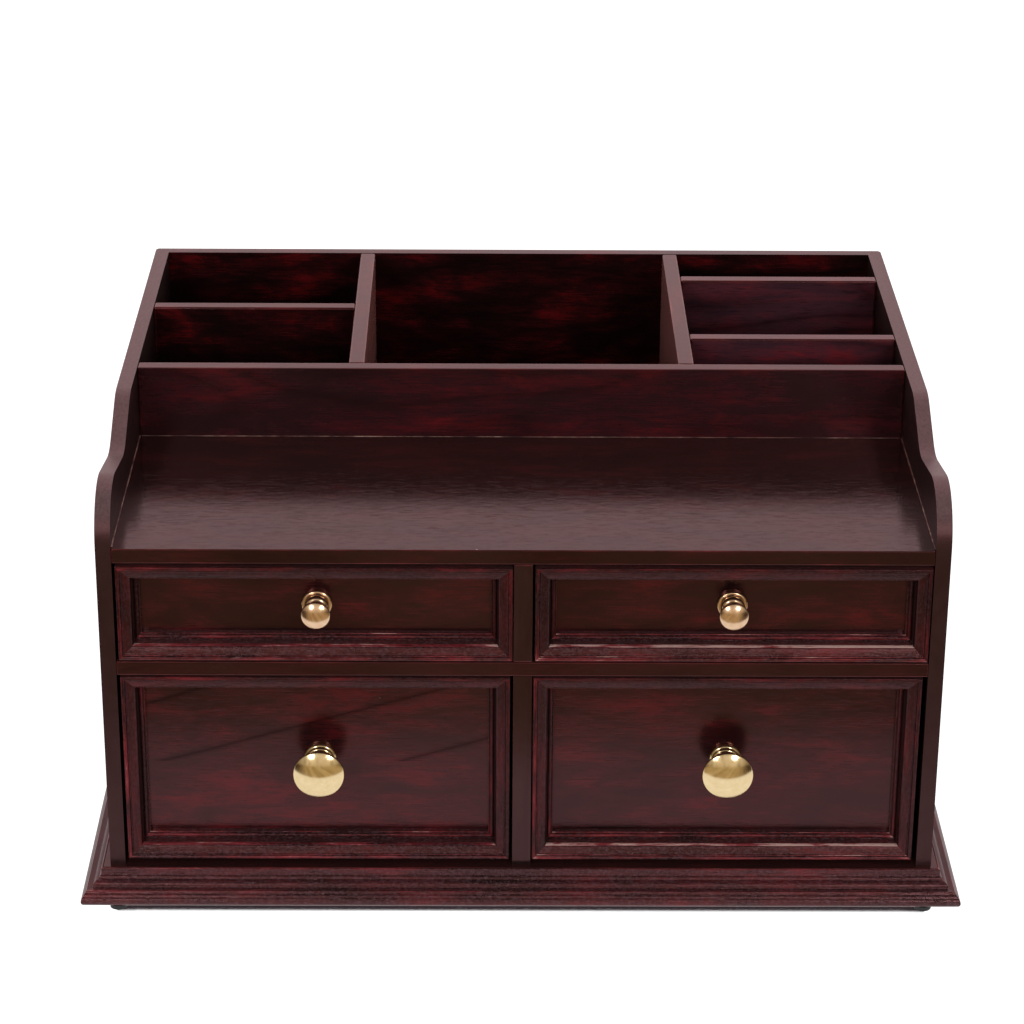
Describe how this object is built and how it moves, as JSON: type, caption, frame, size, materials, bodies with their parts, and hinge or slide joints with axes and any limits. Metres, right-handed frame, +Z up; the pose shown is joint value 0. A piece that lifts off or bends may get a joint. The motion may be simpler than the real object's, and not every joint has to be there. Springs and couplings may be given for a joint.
{
  "type": "desktop mini drawers",
  "caption": "Desk organiser with side-by-side shallow and deep drawers under a shelf, ogee-shaped side panels, and open-topped cells behind a raised wall.",
  "frame": {"origin": "centre of the bounding box at the underside of the foot pads", "axes": "+X to the right seen from the front, +Y from the drawer fronts to the back, +Z up"},
  "size_m": [0.406, 0.317, 0.2125],
  "materials": {
    "carcass_wood": "dark mahogany stain under satin lacquer",
    "moulding_wood": "dark mahogany stain under gloss lacquer",
    "drawer_front_wood": "dark mahogany stain under satin lacquer",
    "drawer_box_wood": "thinly stained, matt",
    "drawer_bottom_wood": "thin plywood, matt",
    "small_knob_brass": "polished",
    "large_knob_brass": "polished",
    "screw_steel": "zinc plated",
    "pad_rubber": "matt"
  },
  "bodies": {
    "carcass": {"base_board": "carcass_wood", "base_moulding_front": "moulding_wood", "base_moulding_left": "moulding_wood", "base_moulding_right": "moulding_wood", "foot_pads": "pad_rubber", "base_screws": "screw_steel", "left_side_panel": "carcass_wood", "right_side_panel": "carcass_wood", "back_panel": "carcass_wood", "mid_board": "carcass_wood", "shelf_board": "carcass_wood", "raised_wall": "carcass_wood", "lower_centre_divider": "carcass_wood", "upper_centre_divider": "carcass_wood", "left_partition": "carcass_wood", "right_partition": "carcass_wood", "left_cross_divider": "carcass_wood", "right_cross_divider_front": "carcass_wood", "right_cross_divider_back": "carcass_wood"},
    "upper_left_drawer": {"upper_left_front": "drawer_front_wood", "upper_left_rails": "moulding_wood", "upper_left_stiles": "moulding_wood", "upper_left_box_left": "drawer_box_wood", "upper_left_box_right": "drawer_box_wood", "upper_left_box_back": "drawer_box_wood", "upper_left_bottom": "drawer_bottom_wood", "upper_left_knob": "small_knob_brass", "upper_left_knob_screw": "screw_steel"},
    "upper_right_drawer": {"upper_right_front": "drawer_front_wood", "upper_right_rails": "moulding_wood", "upper_right_stiles": "moulding_wood", "upper_right_box_left": "drawer_box_wood", "upper_right_box_right": "drawer_box_wood", "upper_right_box_back": "drawer_box_wood", "upper_right_bottom": "drawer_bottom_wood", "upper_right_knob": "small_knob_brass", "upper_right_knob_screw": "screw_steel"},
    "lower_left_drawer": {"lower_left_front": "drawer_front_wood", "lower_left_rails": "moulding_wood", "lower_left_stiles": "moulding_wood", "lower_left_box_left": "drawer_box_wood", "lower_left_box_right": "drawer_box_wood", "lower_left_box_back": "drawer_box_wood", "lower_left_bottom": "drawer_bottom_wood", "lower_left_knob": "large_knob_brass", "lower_left_knob_screw": "screw_steel"},
    "lower_right_drawer": {"lower_right_front": "drawer_front_wood", "lower_right_rails": "moulding_wood", "lower_right_stiles": "moulding_wood", "lower_right_box_left": "drawer_box_wood", "lower_right_box_right": "drawer_box_wood", "lower_right_box_back": "drawer_box_wood", "lower_right_bottom": "drawer_bottom_wood", "lower_right_knob": "large_knob_brass", "lower_right_knob_screw": "screw_steel"}
  },
  "joints": [
    {"name": "upper_left_slide", "type": "slide", "parent": "carcass", "child": "upper_left_drawer", "axis": [0, -1, 0], "range_m": [0, 0.085]},
    {"name": "upper_right_slide", "type": "slide", "parent": "carcass", "child": "upper_right_drawer", "axis": [0, -1, 0], "range_m": [0, 0.085]},
    {"name": "lower_left_slide", "type": "slide", "parent": "carcass", "child": "lower_left_drawer", "axis": [0, -1, 0], "range_m": [0, 0.21]},
    {"name": "lower_right_slide", "type": "slide", "parent": "carcass", "child": "lower_right_drawer", "axis": [0, -1, 0], "range_m": [0, 0.21]}
  ]
}
